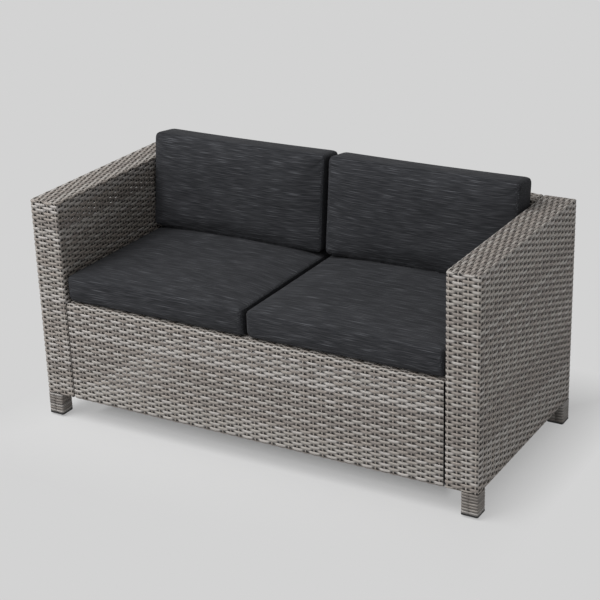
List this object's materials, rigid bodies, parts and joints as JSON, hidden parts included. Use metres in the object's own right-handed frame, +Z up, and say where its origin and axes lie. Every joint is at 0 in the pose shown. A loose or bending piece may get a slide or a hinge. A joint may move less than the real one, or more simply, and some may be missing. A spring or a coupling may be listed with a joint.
{
  "type": "patio loveseat",
  "caption": "Low boxy woven outdoor loveseat with slab arms, a flush back, a deep woven skirt on short legs, and loose boxed seat and back cushions.",
  "frame": {"origin": "on the floor, at the middle of the width and of the depth of the loveseat", "axes": "+X to the right as seen from the front, +Y from the front to the back, +Z up"},
  "size_m": [1.31, 0.61, 0.7162],
  "materials": {
    "frame_steel": "black powder coat on steel tube",
    "weave": "flat polyethylene strand in mixed warm greys, plain weave",
    "foot_plastic": "black moulded plastic",
    "fastener_steel": "zinc plated steel",
    "cushion_fabric": "charcoal slub polyester, sewn box seams",
    "foam": "cut open-cell foam",
    "zip_tape": "woven tape with nylon coil",
    "zip_metal": "black painted die cast"
  },
  "bodies": {
    "base": {"left_arm_frame": "frame_steel", "left_arm_weave": "weave", "right_arm_frame": "frame_steel", "right_arm_weave": "weave", "front_left_leg_wrap": "weave", "front_left_leg_cap": "foot_plastic", "front_right_leg_wrap": "weave", "front_right_leg_cap": "foot_plastic", "rear_left_leg_wrap": "weave", "rear_left_leg_cap": "foot_plastic", "rear_right_leg_wrap": "weave", "rear_right_leg_cap": "foot_plastic", "back_frame": "frame_steel", "back_weave": "weave", "seat_front_rail": "frame_steel", "seat_rear_rail": "frame_steel", "seat_right_rail": "frame_steel", "seat_left_rail": "frame_steel", "seat_cross_bar_1": "frame_steel", "seat_cross_bar_2": "frame_steel", "seat_cross_bar_3": "frame_steel", "skirt_lower_rail": "frame_steel", "skirt_post_1": "frame_steel", "skirt_post_2": "frame_steel", "skirt_post_3": "frame_steel", "skirt_post_4": "frame_steel", "deck_weave": "weave", "skirt_weave": "weave", "right_corner_bracket": "frame_steel", "left_corner_bracket": "frame_steel", "seat_bolts": "fastener_steel", "bracket_bolts": "fastener_steel", "rivet_nuts": "fastener_steel"},
    "front_left_foot": {"front_left_glide": "foot_plastic"},
    "front_right_foot": {"front_right_glide": "foot_plastic"},
    "rear_left_foot": {"rear_left_glide": "foot_plastic"},
    "rear_right_foot": {"rear_right_glide": "foot_plastic"},
    "left_seat_cushion": {"left_seat_cushion_cover": "cushion_fabric", "left_seat_cushion_core": "foam", "left_seat_cushion_zip": "zip_tape"},
    "right_seat_cushion": {"right_seat_cushion_cover": "cushion_fabric", "right_seat_cushion_core": "foam", "right_seat_cushion_zip": "zip_tape"},
    "left_back_cushion": {"left_back_cushion_cover": "cushion_fabric", "left_back_cushion_core": "foam", "left_back_cushion_zip": "zip_tape"},
    "right_back_cushion": {"right_back_cushion_cover": "cushion_fabric", "right_back_cushion_core": "foam", "right_back_cushion_zip": "zip_tape"},
    "left_seat_cushion_slider": {"left_seat_cushion_zip_slider": "zip_metal"},
    "left_back_cushion_slider": {"left_back_cushion_zip_slider": "zip_metal"},
    "right_seat_cushion_slider": {"right_seat_cushion_zip_slider": "zip_metal"},
    "right_back_cushion_slider": {"right_back_cushion_zip_slider": "zip_metal"}
  },
  "joints": [
    {"name": "front_left_foot_screw", "type": "slide", "parent": "base", "child": "front_left_foot", "axis": [0, 0, -1], "range_m": [0, 0.012]},
    {"name": "front_right_foot_screw", "type": "slide", "parent": "base", "child": "front_right_foot", "axis": [0, 0, -1], "range_m": [0, 0.012]},
    {"name": "rear_left_foot_screw", "type": "slide", "parent": "base", "child": "rear_left_foot", "axis": [0, 0, -1], "range_m": [0, 0.012]},
    {"name": "rear_right_foot_screw", "type": "slide", "parent": "base", "child": "rear_right_foot", "axis": [0, 0, -1], "range_m": [0, 0.012]},
    {"name": "left_seat_cushion_lift", "type": "slide", "parent": "base", "child": "left_seat_cushion", "axis": [0, 0, 1], "range_m": [0, 0.3]},
    {"name": "right_seat_cushion_lift", "type": "slide", "parent": "base", "child": "right_seat_cushion", "axis": [0, 0, 1], "range_m": [0, 0.3]},
    {"name": "left_back_cushion_lift", "type": "slide", "parent": "left_seat_cushion", "child": "left_back_cushion", "axis": [0, 0, 1], "range_m": [0, 0.3]},
    {"name": "right_back_cushion_lift", "type": "slide", "parent": "right_seat_cushion", "child": "right_back_cushion", "axis": [0, 0, 1], "range_m": [0, 0.3]},
    {"name": "left_seat_cushion_zip_run", "type": "slide", "parent": "left_seat_cushion", "child": "left_seat_cushion_slider", "axis": [1, 0, 0], "range_m": [0, 0.428]},
    {"name": "left_back_cushion_zip_run", "type": "slide", "parent": "left_back_cushion", "child": "left_back_cushion_slider", "axis": [1, 0, 0], "range_m": [0, 0.428]},
    {"name": "right_seat_cushion_zip_run", "type": "slide", "parent": "right_seat_cushion", "child": "right_seat_cushion_slider", "axis": [-1, 0, 0], "range_m": [0, 0.428]},
    {"name": "right_back_cushion_zip_run", "type": "slide", "parent": "right_back_cushion", "child": "right_back_cushion_slider", "axis": [-1, 0, 0], "range_m": [0, 0.428]}
  ]
}
